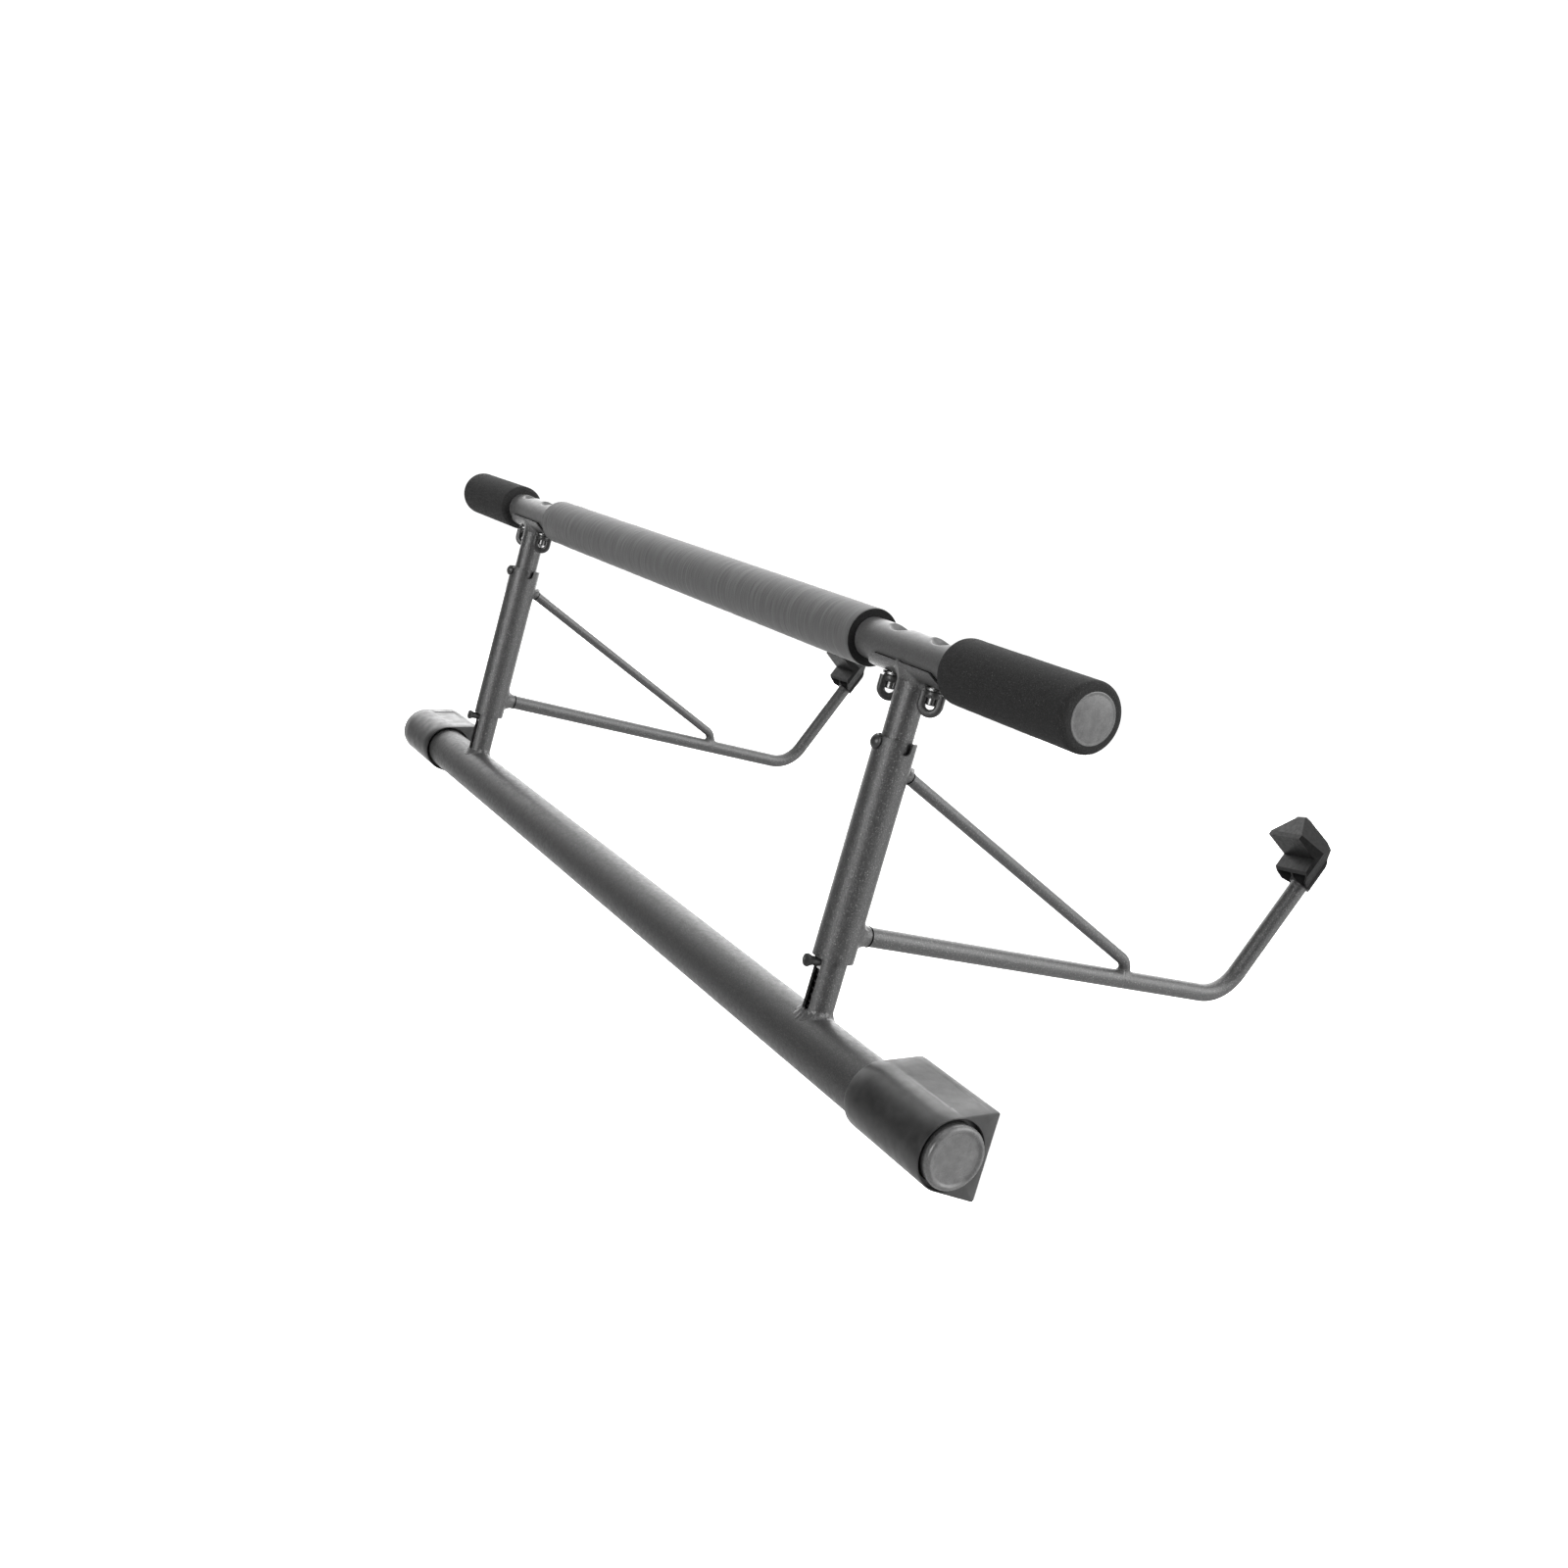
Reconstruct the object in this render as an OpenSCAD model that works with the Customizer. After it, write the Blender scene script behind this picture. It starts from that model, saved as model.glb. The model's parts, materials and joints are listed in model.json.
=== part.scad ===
// Doorway pull up bar: two parallel bars on two uprights, with swing-in hook arms.
// Units are millimetres. +X runs along the bars, +Y points through the doorway
// towards the hooks, and +Z runs up the uprights. The origin lies midway between
// the door pads, on the plane of their contact faces, level with the lower bar.

/* [Bars] */
// Overall length of both bars
bar_length = 940; // [920:1:960]
// Height of the pull bar's axis above the lower bar's axis
bar_height = 236; // [232:1:250]
// Outside diameter of the pull bar tube
pull_bar_d = 25.4; // [24.4:0.1:26]
// Outside diameter of the lower bar tube
lower_bar_d = 36; // [34:0.5:36]
// Wall thickness of the steel tubes
tube_wall = 1.5; // [1.2:0.1:1.6]
// Outside diameter of the centre foam grip
foam_d = 36; // [34:0.5:38]
// Outside diameter of the two end hand grips
hand_grip_d = 38.4; // [36:0.2:40]
// Length of the centre foam grip
centre_foam_len = 518; // [480:1:522]
// Length of each end hand grip
hand_grip_len = 114; // [100:1:114]

/* [Uprights and saddles] */
// Distance between the axes of the two uprights
upright_spacing = 625; // [615:1:628]
// Outside diameter of the upright tubes
upright_d = 19.06; // [18.9:0.02:19.1]
// Thickness of the saddle sheet
saddle_t = 2; // [1.5:0.1:2.2]
// Length of the saddle along its upper edges
saddle_top_len = 60; // [56:1:64]
// Length of the saddle along its bottom
saddle_bottom_len = 84; // [80:1:86]
// Distance from the upright's axis to each saddle bolt
bolt_offset = 22; // [21.5:0.1:24]
// Depth of the pressed dimple over each saddle bolt
dimple_depth = 6.2; // [5.5:0.1:6.5]
// Width of a thumb nut's loop
nut_w = 15; // [13:0.5:18]

/* [Release sleeves] */
// Outside diameter of the sleeve
sleeve_d = 25.4; // [25:0.1:26]
// Height of the sleeve's lower rim
sleeve_bottom = 52; // [50:0.5:54]
// Height of the sleeve's notched upper rim
sleeve_top = 186.5; // [184:0.5:188]
// Width of each of the four rim notches
notch_w = 7.6; // [7.2:0.1:8]

/* [Arms and hooks] */
// Diameter of the arm rod
arm_d = 12; // [11:0.1:12]
// Height of the arm's axis where it meets the upright's axis
arm_height = 68; // [67:0.5:70]
// Angle by which the arm falls away from level
arm_slope = 1.4; // [0:0.1:2]
// Distance from the upright's axis to the corner of the arm
arm_reach = 317; // [300:1:330]
// Angle of the riser above level
riser_angle = 65; // [62:0.5:68]
// Diameter of the brace rod
brace_d = 8; // [7:0.1:8]
// Width of the trim hook
hook_w = 41; // [38:0.5:42]
// How far the right hook is turned on its rod, away from square
right_hook_turn = -20; // [-25:1:25]
// How far the left hook is turned on its rod, away from square
left_hook_turn = -7; // [-25:1:25]

/* [Door pads] */
// Length of each door pad along the bar
pad_len = 75; // [70:1:76]
// Height of each pad's flat face
pad_face_h = 51.6; // [48:0.2:54]
// Distance from the lower bar's axis to the moulded flat of the pad
pad_face_y = 23.5; // [22.5:0.1:25]
// Thickness of the pale liner on the flat
liner_t = 3; // [2:0.1:4]

/* [Hidden] */

$fn = 64;
eps = 0.01;
far = 400;

// Clearances
touch = 0.05;
slip = 0.07;
air = 0.3;

// Frame
bar_y = -(pad_face_y + liner_t);
upright_x = upright_spacing / 2;
pull_r = pull_bar_d / 2;
lower_r = lower_bar_d / 2;
upright_r = upright_d / 2;
upright_bore_r = upright_r - tube_wall;
cap_lip = 4;
tube_end = bar_length / 2 - cap_lip;
bar_cap_r = pull_r + 1.5;
base_cap_r = lower_r + 0.3;
cap_edge_r = 1.5;
cap_plug_len = 16;
cap_plug_wall = 2;

// Dimples pressed into the pull bar by a ball-nosed tool
dimple_ball_r = 13;
dimple_ball_z = pull_r - dimple_depth + dimple_ball_r;
dimple_floor_z = bar_height + pull_r - dimple_depth;

// Saddle hardware
saddle_r = pull_r + touch + saddle_t;
saddle_drop = 6.5;
saddle_bottom_drop = 14;
bolt_r = 3;
bolt_hole_r = 3.3;
bolt_head_r = 6;
bolt_head_h = 3;
washer_r = 6.4;
washer_t = 1.2;
washer_top = bar_height - saddle_r - touch;
nut_top = washer_top - washer_t - air;
nut_hub_r = 5.4;
nut_hub_h = 4;
nut_h = 15.4;
nut_window = 6.8;
nut_web = 3;
nut_t = 5;
bolt_end = nut_top - 11;

// Welds round the two ends of an upright
weld_leg = 2.8;
weld_rise = 2.6;

// Lock pin, notched crown and sleeve
sleeve_r = sleeve_d / 2;
sleeve_bore_r = 11.1;
bush_bore_r = upright_r + slip;
bush_len = 16;
crown_h = 12.4;
crown_bottom = sleeve_top - crown_h;
crown_guide_h = 4.2;
sleeve_cut = 0.02;
lock_pin_r = 3;
lock_pin_z = sleeve_top - 4.1;
notch_floor_gap = 0.4;
notch_r = notch_w / 2;
notch_centre_z = lock_pin_z - lock_pin_r - notch_floor_gap + notch_r;
pin_head_r = 4.3;
pin_head_in = sleeve_r + 0.6;
pin_head_t = 3;
pin_tail = 12.2;

// Plunger: a pin that carries the sleeve, in a block that the spring pushes up
plunger_r = 2.8;
plunger_z = sleeve_bottom - air - plunger_r;
slot_w = 6.4;
slot_top = plunger_z + 6;
plunger_head_r = 4.1;
plunger_head_in = sleeve_r + 0.8;
plunger_head_out = sleeve_r + 6;
block_r = upright_bore_r - slip;
block_h = 11;
block_bottom = plunger_z - 4.4;

// Compression spring inside the upright's foot
spring_wire_r = 0.9;
spring_r = 6.3;
spring_turns = 7;
spring_steps = 18;
spring_sides = 8;
spring_low = lower_r + 0.2 + spring_wire_r;
spring_high = block_bottom - 0.2 - spring_wire_r;

// Arm rod
arm_r = arm_d / 2;
arm_bend_r = 30;
arm_end_w = 112;
arm_corner_z = arm_height - arm_reach * tan(arm_slope);
arm_turn = arm_slope + riser_angle;
arm_tangent = arm_bend_r * tan(arm_turn / 2);

// Brace rod
brace_r = brace_d / 2;
brace_height = 172.4;
brace_slope = 23.6;
brace_reach = 224.5;
brace_bend_r = 9;
brace_corner_z = brace_height - brace_reach * tan(brace_slope);
brace_turn = 90 - brace_slope;
brace_tangent = brace_bend_r * tan(brace_turn / 2);
seam_h = 0.8;
seam_step = 0.08;
weld_end = 19;

// Trim hook, in the rod's own frame: x across the hook, y away from the
// wall, z along the rod from the corner of the arm
hook_front = -12.5;
hook_tip = -30.6;
hook_wall = 2.2;
hook_low = 94;
hook_notch_z = 109.4;
hook_lip_z = 113.2;
hook_shoulder_z = 116.5;
hook_ridge_front_z = 133.5;
hook_ridge_back_z = 127.5;
hook_back_y = -6;
hook_crown_r = 6.5;
hook_face_low = 99;
boss_r = 7.6;
socket_r = arm_r + slip;
socket_end = arm_end_w + 0.5;

// Door pad
pad_out = bar_length / 2 - 5;
pad_in = pad_out - pad_len;
pad_r = 21;
pad_bore_r = lower_r + slip;
pad_recess_r = 20;
pad_recess = 9;
liner_edge = 1;

// ---- Helpers ----

module at_bar() {
    translate([0, bar_y, 0]) children();
}

// Places a sub-part on the left (side = -1) or the right (side = 1) upright
module at_upright(side) {
    translate([side * upright_x, bar_y, 0]) children();
}

module rod_x(r, from, to) {
    translate([from, 0, 0]) rotate([0, 90, 0]) cylinder(r = r, h = to - from);
}

module rod_y(r, from, to) {
    translate([0, from, 0]) rotate([-90, 0, 0]) cylinder(r = r, h = to - from);
}

module ring(r_out, r_in, h) {
    difference() {
        cylinder(r = r_out, h = h);
        translate([0, 0, -1]) cylinder(r = r_in, h = h + 2);
    }
}

// A tube along X that is mirrored for the left side
module sleeve_x(side, r_out, r_in, from, to) {
    mirror([side < 0 ? 1 : 0, 0, 0]) difference() {
        rod_x(r_out, from, to);
        rod_x(r_in, from - 1, to + 1);
    }
}

// ---- Pull bar ----

module dimple_balls(extra) {
    for (side = [-1, 1], step = [-1, 1])
        translate([side * upright_x + step * bolt_offset, 0, dimple_ball_z])
            sphere(r = dimple_ball_r + extra);
}

module bolt_holes() {
    for (side = [-1, 1], step = [-1, 1])
        translate([side * upright_x + step * bolt_offset, 0, -far])
            cylinder(r = bolt_hole_r, h = 2 * far);
}

module pull_bar_tube() {
    color("dimgray") at_bar() translate([0, 0, bar_height]) difference() {
        rod_x(pull_r, -tube_end, tube_end);
        difference() {
            rod_x(pull_r - tube_wall, -tube_end - 1, tube_end + 1);
            dimple_balls(tube_wall);
        }
        dimple_balls(0);
        bolt_holes();
    }
}

module centre_foam_grip() {
    color([0.38, 0.38, 0.38]) at_bar() translate([0, 0, bar_height]) difference() {
        rod_x(foam_d / 2, -centre_foam_len / 2, centre_foam_len / 2);
        rod_x(pull_r + touch, -far, far);
    }
}

module hand_grip(side) {
    color([0.13, 0.13, 0.13]) at_bar() translate([0, 0, bar_height])
        mirror([side < 0 ? 1 : 0, 0, 0]) difference() {
            rod_x(hand_grip_d / 2, bar_length / 2 - hand_grip_len, bar_length / 2);
            rod_x(pull_r + touch, 0, bar_length);
            rod_x(bar_cap_r + touch, tube_end - touch, bar_length);
        }
}

// Plug with a lip: a rounded disc on a hollow spigot
module end_cap(side, lip_r, plug_r) {
    mirror([side < 0 ? 1 : 0, 0, 0]) translate([tube_end, 0, 0]) rotate([0, 90, 0])
        rotate_extrude() difference() {
            union() {
                square([lip_r, cap_lip - cap_edge_r]);
                square([lip_r - cap_edge_r, cap_lip]);
                translate([lip_r - cap_edge_r, cap_lip - cap_edge_r]) circle(r = cap_edge_r);
                translate([0, -cap_plug_len]) square([plug_r, cap_plug_len + eps]);
            }
            translate([-1, -cap_plug_len - 1])
                square([plug_r - cap_plug_wall + 1, cap_plug_len]);
            translate([-far, -far]) square([far, 2 * far]);
        }
}

module bar_cap(side) {
    color([0.3, 0.3, 0.3]) at_bar() translate([0, 0, bar_height])
        end_cap(side, bar_cap_r, pull_r - tube_wall - touch);
}

// ---- Saddles and their hardware ----

module saddle(side) {
    top = bar_height - saddle_drop;
    low = bar_height - saddle_bottom_drop;
    color("dimgray") at_upright(side) difference() {
        intersection() {
            translate([0, 0, bar_height]) difference() {
                rod_x(saddle_r, -far, far);
                rod_x(pull_r + touch, -far, far);
            }
            rotate([90, 0, 0]) linear_extrude(height = 80, center = true) polygon([
                [-saddle_top_len / 2, top], [saddle_top_len / 2, top],
                [saddle_bottom_len / 2, low], [saddle_bottom_len / 2, low - 20],
                [-saddle_bottom_len / 2, low - 20], [-saddle_bottom_len / 2, low]
            ]);
        }
        for (step = [-1, 1])
            translate([step * bolt_offset, 0, 0]) cylinder(r = bolt_hole_r, h = bar_height);
    }
}

module saddle_bolts(side) {
    color("silver") at_upright(side) for (step = [-1, 1])
        translate([step * bolt_offset, 0, 0]) {
            translate([0, 0, bolt_end]) cylinder(r = bolt_r, h = dimple_floor_z - bolt_end + 1);
            intersection() {
                translate([0, 0, dimple_floor_z + 0.6]) cylinder(r = bolt_head_r, h = bolt_head_h);
                translate([0, 0, bar_height + dimple_ball_z]) sphere(r = dimple_ball_r - touch);
            }
        }
}

module saddle_washers(side) {
    color("silver") at_upright(side) for (step = [-1, 1])
        translate([step * bolt_offset, 0, washer_top - washer_t])
            ring(washer_r, bolt_hole_r, washer_t);
}

// Thumb nut: a round-ended loop under a threaded hub; turn sets how it rests
module wing_nut(side, step, turn) {
    half = nut_w / 2;
    low = nut_top - nut_h;
    color([0.2, 0.2, 0.2]) at_upright(side) translate([step * bolt_offset, 0, 0])
        rotate([0, 0, turn]) difference() {
            union() {
                translate([0, 0, nut_top - nut_hub_h]) cylinder(r = nut_hub_r, h = nut_hub_h);
                rotate([90, 0, 0]) linear_extrude(height = nut_t, center = true) {
                    translate([-half, low + half]) square([nut_w, nut_h - half]);
                    translate([0, low + half]) circle(r = half);
                }
            }
            rotate([90, 0, 0]) linear_extrude(height = 2 * nut_hub_r + 2, center = true) {
                translate([-nut_window / 2, low + nut_web + nut_window / 2])
                    square([nut_window, nut_h - nut_hub_h - nut_web - nut_window / 2]);
                translate([0, low + nut_web + nut_window / 2]) circle(r = nut_window / 2);
            }
            cylinder(r = bolt_r + slip, h = bar_height);
        }
}

// ---- Uprights ----

// Keeps only what lies between the lower bar and the saddle
module between_bars() {
    difference() {
        children();
        rod_x(lower_r, -far, far);
        translate([0, 0, bar_height]) rod_x(saddle_r + touch, -far, far);
    }
}

module slot_cut() {
    translate([-slot_w / 2, -far, 0]) cube([slot_w, far, slot_top - slot_w / 2]);
    translate([0, 0, slot_top - slot_w / 2]) rod_y(slot_w / 2, -far, 0);
}

module upright_tube(side) {
    color("dimgray") at_upright(side) between_bars() difference() {
        ring(upright_r, upright_bore_r, bar_height);
        slot_cut();
        translate([0, 0, lock_pin_z]) rod_y(lock_pin_r + touch, -far, far);
    }
}

module upright_welds(side) {
    color([0.33, 0.33, 0.33]) at_upright(side) between_bars() difference() {
        intersection() {
            ring(upright_r + weld_leg, upright_r + eps, bar_height);
            union() {
                rod_x(lower_r + weld_rise, -30, 30);
                translate([0, 0, bar_height]) rod_x(saddle_r + weld_rise, -30, 30);
            }
        }
        slot_cut();
    }
}

module lower_bar_tube() {
    color("dimgray") at_bar() difference() {
        rod_x(lower_r, -tube_end, tube_end);
        rod_x(lower_r - tube_wall, -tube_end - 1, tube_end + 1);
    }
}

module base_cap(side) {
    color([0.34, 0.34, 0.34]) at_bar() end_cap(side, base_cap_r, lower_r - tube_wall - touch);
}

// Cross pin that the sleeve's notches lock on, with a domed head on one side
module lock_pin(side) {
    color("gray") at_upright(side) translate([0, 0, lock_pin_z]) {
        rod_y(lock_pin_r, -pin_head_in, pin_tail);
        translate([0, -pin_head_in, 0]) rotate([90, 0, 0]) rotate_extrude() intersection() {
            square([pin_head_r, pin_head_t]);
            translate([0, -pin_head_r * 0.5]) circle(r = pin_head_r * 1.25);
        }
    }
}

// ---- Release: crown, plunger and spring ----

module lock_crown(side) {
    color("dimgray") at_upright(side) difference() {
        union() {
            translate([0, 0, crown_bottom]) ring(sleeve_r, bush_bore_r, crown_guide_h);
            translate([0, 0, crown_bottom]) ring(sleeve_r, sleeve_bore_r, crown_h);
        }
        translate([0, 0, notch_centre_z]) for (turn = [0, 90]) rotate([0, 0, turn]) {
            rod_y(notch_r, -far, far);
            translate([-notch_r, -far, 0]) cube([notch_w, 2 * far, crown_h]);
        }
    }
}

module plunger_pin(side) {
    color("gray") at_upright(side) translate([0, 0, plunger_z]) mirror([0, 1, 0]) {
        rod_y(plunger_r, 0, plunger_head_out - 2);
        translate([0, plunger_head_in, 0]) rotate([-90, 0, 0]) rotate_extrude() polygon([
            [0, 0], [plunger_r, 0], [plunger_r + 0.3, 1.2], [plunger_head_r - 0.3, 2.8],
            [plunger_head_r, 3.6], [plunger_head_r - 0.4, 4.6], [0, 5.2]
        ]);
    }
}

module plunger_block(side) {
    color([0.85, 0.85, 0.8]) at_upright(side) difference() {
        translate([0, 0, block_bottom]) cylinder(r = block_r, h = block_h);
        translate([0, 0, plunger_z]) rod_y(plunger_r + touch, -far, touch);
    }
}

// Point on the spring's helix, with the first and last turns closed up
function spring_rise(t) = t < 1 ? 0.42 * t
    : t > spring_turns - 1 ? 1 - 0.42 * (spring_turns - t) : 0;
function spring_z(t) =
    let (pitch = (spring_high - spring_low - 2 * 2 * spring_wire_r) / (spring_turns - 2))
    t < 1 ? spring_low + 2 * spring_wire_r * t
    : t > spring_turns - 1 ? spring_high - 2 * spring_wire_r * (spring_turns - t)
    : spring_low + 2 * spring_wire_r + pitch * (t - 1);
function spring_point(i, j) =
    let (t = i / spring_steps, a = 360 * t, b = 360 * j / spring_sides,
         r = spring_r + spring_wire_r * cos(b))
    [r * cos(a), r * sin(a), spring_z(t) + spring_wire_r * sin(b)];

module release_spring(side) {
    rings = spring_turns * spring_steps;
    points = [for (i = [0:rings], j = [0:spring_sides - 1]) spring_point(i, j)];
    sides = [for (i = [0:rings - 1], j = [0:spring_sides - 1])
        let (k = (j + 1) % spring_sides)
        [i * spring_sides + j, i * spring_sides + k,
         (i + 1) * spring_sides + k, (i + 1) * spring_sides + j]];
    start = [[for (j = [spring_sides - 1:-1:0]) j]];
    end = [[for (j = [0:spring_sides - 1]) rings * spring_sides + j]];
    color("silver") at_upright(side) polyhedron(points = points, faces = concat(sides, start, end));
}

// ---- Arms ----

module sleeve(side) {
    top = crown_bottom - sleeve_cut;
    color("dimgray") at_upright(side) translate([0, 0, sleeve_bottom])
        ring(sleeve_r, sleeve_bore_r, top - sleeve_bottom);
}

module sleeve_bushes(side) {
    top = crown_bottom - sleeve_cut - air;
    color([0.85, 0.85, 0.8]) at_upright(side)
        for (z = [sleeve_bottom + air, top - bush_len])
            translate([0, 0, z]) ring(sleeve_bore_r - touch, bush_bore_r, bush_len);
}

// Lies along +Y from the upright's axis at a height, falling by a slope
module sloping(height, slope) {
    translate([0, 0, height]) rotate([-slope, 0, 0]) children();
}

// A bend that carries on from a rod along +Y and turns it upwards by an angle
module bend(radius, rod_r, angle) {
    translate([0, 0, radius]) rotate([0, 90, 0]) rotate_extrude(angle = angle)
        translate([radius, 0]) circle(r = rod_r);
}

// Hair-thin collar over the seam where a bend meets the next straight rod
module bend_seam(rod_r) {
    translate([0, 0, -seam_h / 2]) cylinder(r = rod_r + seam_step, h = seam_h);
}

module outside_sleeve() {
    difference() {
        children();
        cylinder(r = sleeve_r + touch, h = far);
    }
}

module arm_run() {
    sloping(arm_height, arm_slope) children();
}

// Frame of the riser: z runs along the rod from the arm's corner
module at_riser() {
    translate([0, arm_reach, arm_corner_z]) rotate([riser_angle - 90, 0, 0]) children();
}

module arm_rod(side) {
    run = arm_reach / cos(arm_slope) - arm_tangent;
    color([0.4, 0.4, 0.4]) at_upright(side) outside_sleeve() {
        arm_run() {
            rod_y(arm_r, 0, run);
            translate([0, run, 0]) bend(arm_bend_r, arm_r, arm_turn);
        }
        at_riser() {
            translate([0, 0, arm_tangent]) cylinder(r = arm_r, h = arm_end_w - arm_tangent);
            translate([0, 0, arm_tangent]) bend_seam(arm_r);
        }
    }
}

module brace_rod(side) {
    run = brace_reach / cos(brace_slope) - brace_tangent;
    color([0.4, 0.4, 0.4]) at_upright(side) outside_sleeve() difference() {
        union() {
            sloping(brace_height, brace_slope) {
                rod_y(brace_r, 0, run);
                translate([0, run, 0]) rotate([0, 180, 0]) bend(brace_bend_r, brace_r, brace_turn);
            }
            translate([0, brace_reach, arm_corner_z])
                cylinder(r = brace_r, h = brace_corner_z - brace_tangent - arm_corner_z);
            translate([0, brace_reach, brace_corner_z - brace_tangent]) bend_seam(brace_r);
        }
        arm_run() rod_y(arm_r + touch, 0, far);
    }
}

// Fillet welds where the two rods leave the sleeve, and a bead at the brace's foot
module arm_welds(side) {
    color([0.36, 0.36, 0.36]) at_upright(side) outside_sleeve() {
        arm_run() difference() {
            translate([0, 8, 0]) rotate([-90, 0, 0])
                cylinder(r1 = arm_r + 4.4, r2 = arm_r + 0.2, h = weld_end - 8);
            rod_y(arm_r + eps, 0, far);
        }
        sloping(brace_height, brace_slope) difference() {
            translate([0, 8, 0]) rotate([-90, 0, 0])
                cylinder(r1 = brace_r + 2.6, r2 = brace_r + 0.2, h = weld_end - 8);
            rod_y(brace_r + eps, 0, far);
        }
        difference() {
            translate([0, brace_reach, arm_corner_z])
                cylinder(r = brace_r + 1.6, h = brace_corner_z - arm_corner_z - brace_tangent - seam_h);
            translate([0, brace_reach, 0]) cylinder(r = brace_r + eps, h = far);
            arm_run() rod_y(arm_r + touch, 0, far);
            sloping(brace_height, brace_slope) rod_y(brace_r + 1.7, 0, far);
            translate([-far, 0, arm_corner_z + arm_r + 4.6]) cube([2 * far, far, far]);
        }
    }
}

// ---- Trim hooks ----

// Plan of the hook: wide at the wall side, tapering back to the rod's socket
module hook_plan(inset) {
    half = hook_w / 2 - inset;
    polygon([
        [-half, hook_tip - 1], [half, hook_tip - 1], [half, hook_front + 3],
        [boss_r - inset, 2], [-boss_r + inset, 2], [-half, hook_front + 3]
    ]);
    circle(r = boss_r - inset);
}

// Side of the hook: the lip, the face below it and the back
module hook_side() {
    rotate([90, 0, 90]) linear_extrude(height = hook_w + 2, center = true) polygon([
        [hook_front, hook_face_low], [hook_front, hook_notch_z], [hook_tip, hook_lip_z],
        [hook_tip, hook_shoulder_z], [hook_tip + 2.5, hook_ridge_front_z - 2],
        [hook_tip + 5, hook_ridge_front_z], [hook_back_y, hook_ridge_back_z],
        [boss_r - 3, hook_shoulder_z], [boss_r, socket_end], [boss_r, hook_low],
        [-boss_r + 2, hook_low]
    ]);
}

// Front of the hook: straight sides, shoulders and a rounded top
module hook_front_view() {
    half = hook_w / 2;
    rotate([90, 0, 0]) linear_extrude(height = 120, center = true) hull() {
        translate([-half, hook_low]) square([hook_w, hook_shoulder_z - hook_low]);
        translate([0, hook_ridge_front_z - hook_crown_r]) circle(r = hook_crown_r);
    }
}

// Two pockets under the hook, split by a rib and open downwards
module hook_pockets() {
    translate([0, 0, hook_low - 1]) linear_extrude(height = hook_notch_z - hook_low - 1)
        difference() {
            intersection() {
                hook_plan(hook_wall);
                translate([-far, hook_front + hook_wall]) square([2 * far, far]);
            }
            circle(r = boss_r);
            translate([-hook_wall / 2, -far]) square([hook_wall, far]);
        }
}

module trim_hook(side, turn) {
    color([0.15, 0.15, 0.15]) at_upright(side) at_riser() rotate([0, 0, turn]) difference() {
        intersection() {
            translate([0, 0, hook_low]) linear_extrude(height = 60) hook_plan(0);
            hook_side();
            hook_front_view();
        }
        hook_pockets();
        cylinder(r = socket_r, h = socket_end);
    }
}

// ---- Door pads ----

// Tangent point of a line from the pad's corner to its round back
function pad_tangent() =
    let (corner = norm([pad_face_y, pad_face_h / 2]),
         a = atan2(pad_face_h / 2, pad_face_y) + acos(pad_r / corner))
    [pad_r * cos(a), pad_r * sin(a)];

module pad_section() {
    tangent = pad_tangent();
    circle(r = pad_r);
    polygon([
        [pad_face_y, -pad_face_h / 2], [pad_face_y, pad_face_h / 2], tangent,
        [tangent.x, -tangent.y]
    ]);
}

module door_pad(side) {
    color([0.17, 0.17, 0.17]) at_bar() mirror([side < 0 ? 1 : 0, 0, 0]) difference() {
        translate([pad_in, 0, 0]) rotate([90, 0, 90]) linear_extrude(height = pad_len)
            pad_section();
        rod_x(pad_bore_r, 0, bar_length);
        rod_x(pad_recess_r, pad_in - 1, pad_in + pad_recess);
        rod_x(pad_recess_r, pad_out - pad_recess, pad_out + 1);
    }
}

module pad_liner(side) {
    color([0.93, 0.93, 0.91]) at_bar() mirror([side < 0 ? 1 : 0, 0, 0])
        translate([pad_in + liner_edge, pad_face_y, -pad_face_h / 2 + liner_edge])
            cube([pad_len - 2 * liner_edge, liner_t, pad_face_h - 2 * liner_edge]);
}

// ---- Nodes ----

pull_bar_tube();
centre_foam_grip();
hand_grip(-1);  // left_hand_grip
hand_grip(1);  // right_hand_grip
bar_cap(-1);  // left_bar_cap
bar_cap(1);  // right_bar_cap
saddle(-1);  // left_saddle
saddle(1);  // right_saddle
upright_tube(-1);  // left_upright_tube
upright_tube(1);  // right_upright_tube
upright_welds(-1);  // left_upright_welds
upright_welds(1);  // right_upright_welds
lower_bar_tube();
base_cap(-1);  // left_base_cap
base_cap(1);  // right_base_cap
lock_pin(-1);  // left_lock_pin
lock_pin(1);  // right_lock_pin
saddle_bolts(-1);  // left_saddle_bolts
saddle_bolts(1);  // right_saddle_bolts
saddle_washers(-1);  // left_saddle_washers
saddle_washers(1);  // right_saddle_washers
wing_nut(-1, -1, 48);  // left_outer_wing_nut
wing_nut(-1, 1, 66);  // left_inner_wing_nut
wing_nut(1, -1, 62);  // right_inner_wing_nut
wing_nut(1, 1, 46);  // right_outer_wing_nut
lock_crown(-1);  // left_lock_crown
lock_crown(1);  // right_lock_crown
plunger_pin(-1);  // left_plunger_pin
plunger_pin(1);  // right_plunger_pin
plunger_block(-1);  // left_plunger_block
plunger_block(1);  // right_plunger_block
release_spring(-1);  // left_release_spring
release_spring(1);  // right_release_spring
sleeve(-1);  // left_sleeve
sleeve(1);  // right_sleeve
sleeve_bushes(-1);  // left_sleeve_bushes
sleeve_bushes(1);  // right_sleeve_bushes
arm_rod(-1);  // left_arm_rod
arm_rod(1);  // right_arm_rod
brace_rod(-1);  // left_brace_rod
brace_rod(1);  // right_brace_rod
arm_welds(-1);  // left_arm_welds
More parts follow.
